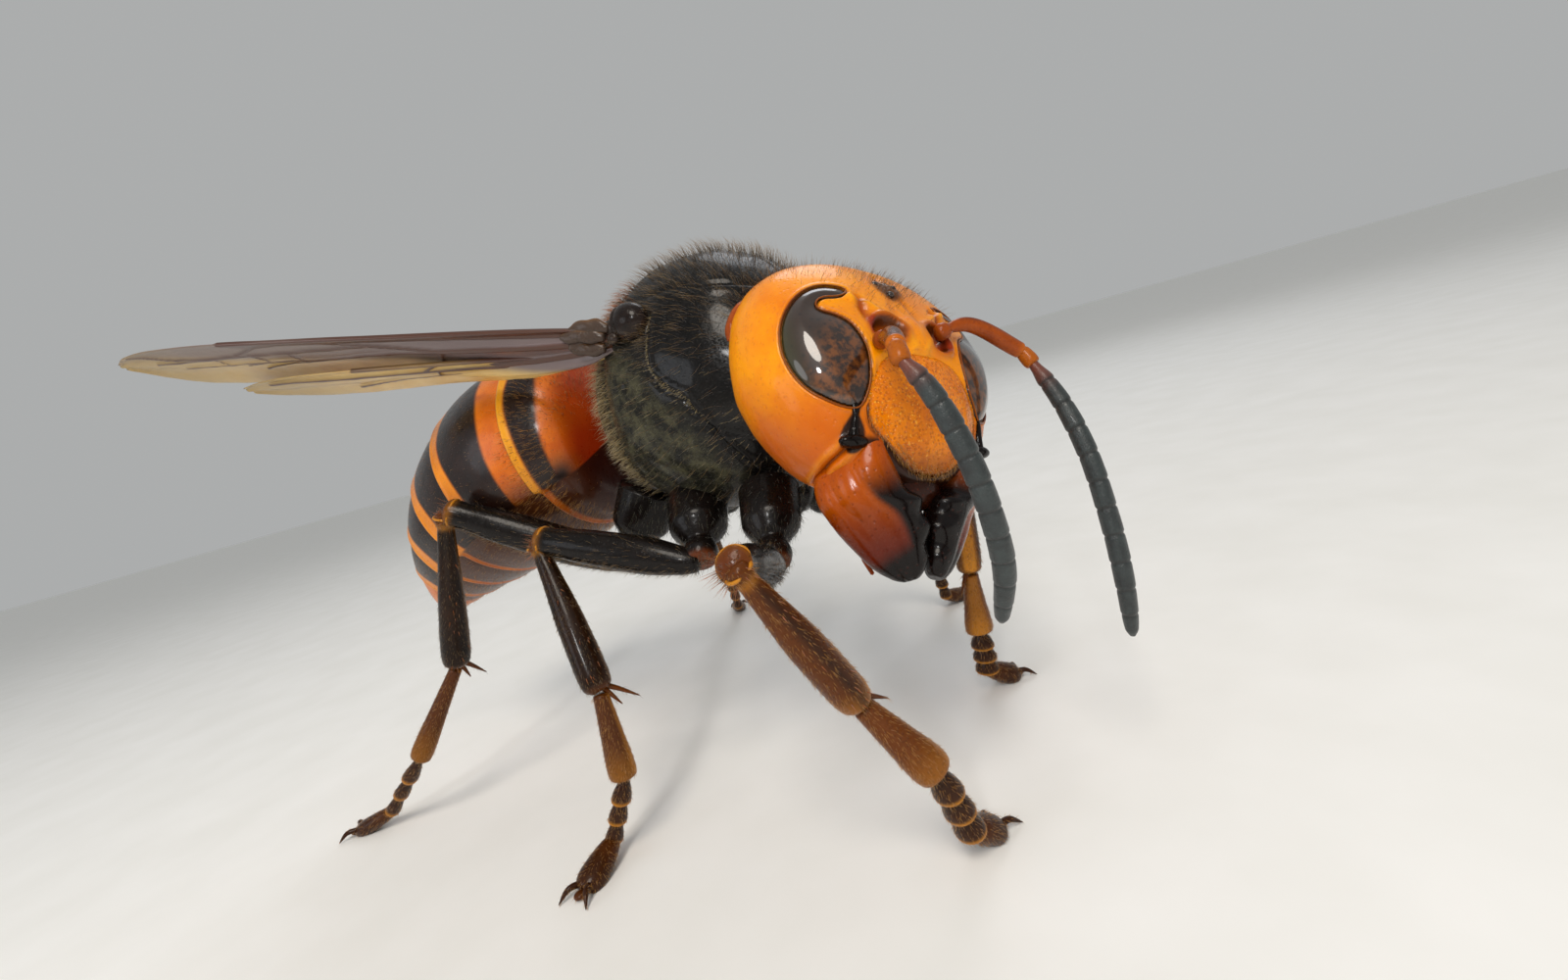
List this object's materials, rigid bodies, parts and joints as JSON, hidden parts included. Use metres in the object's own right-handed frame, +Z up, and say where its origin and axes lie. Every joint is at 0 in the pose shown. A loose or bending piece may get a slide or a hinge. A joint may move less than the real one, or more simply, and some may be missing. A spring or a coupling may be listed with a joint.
{
  "type": "asian giant hornet",
  "caption": "Life-size standing hornet with lowered head, folded wings swept back and six legs on the floor, for display.",
  "frame": {"origin": "middle of the bounding box at the floor the feet stand on", "axes": "+X towards the head along the body, +Y to the hornet's left, +Z up"},
  "size_m": [0.0422, 0.0363, 0.0283],
  "materials": {
    "orange_shell": "glossy orange head shell with fine pits and short fur",
    "jaw": "glossy dark orange shading to black at the biting edge",
    "eye": "deep brown polished compound eye",
    "rust_shell": "glossy rust brown shell",
    "feeler": "slate grey feeler with a fine bloom",
    "black_shell": "near black shell with grey down",
    "banded_shell": "glossy plates banded orange, yellow and dark brown",
    "brown_shell": "dark reddish brown shell with bristles",
    "wing": "smoky amber membrane with raised brown veins"
  },
  "bodies": {
    "root": {"scape_right": "rust_shell", "flagellum_right": "feeler", "scape_left": "rust_shell", "flagellum_left": "feeler", "head": "orange_shell", "eye_right": "eye", "eye_left": "eye", "clypeus": "orange_shell", "mandible_right": "jaw", "mandible_left": "jaw", "mouthparts": "rust_shell", "pronotum": "black_shell", "mesothorax": "black_shell", "propodeum": "black_shell", "abdomen_1": "banded_shell", "abdomen_2": "banded_shell", "abdomen_3": "banded_shell", "abdomen_4": "banded_shell", "abdomen_5": "banded_shell", "abdomen_6": "banded_shell", "tegula_right": "brown_shell", "forewing_right": "wing", "hindwing_right": "wing", "tegula_left": "brown_shell", "forewing_left": "wing", "hindwing_left": "wing", "coxa_front_right": "black_shell", "femur_front_right": "black_shell", "tibia_front_right": "brown_shell", "tarsus_front_right": "brown_shell", "coxa_middle_right": "black_shell", "femur_middle_right": "black_shell", "tibia_middle_right": "brown_shell", "tarsus_middle_right": "brown_shell", "coxa_hind_right": "black_shell", "femur_hind_right": "black_shell", "tibia_hind_right": "brown_shell", "tarsus_hind_right": "brown_shell", "coxa_front_left": "black_shell", "femur_front_left": "black_shell", "tibia_front_left": "brown_shell", "tarsus_front_left": "brown_shell", "coxa_middle_left": "black_shell", "femur_middle_left": "black_shell", "tibia_middle_left": "brown_shell", "tarsus_middle_left": "brown_shell", "coxa_hind_left": "black_shell", "femur_hind_left": "black_shell", "tibia_hind_left": "brown_shell", "tarsus_hind_left": "brown_shell"}
  },
  "joints": []
}
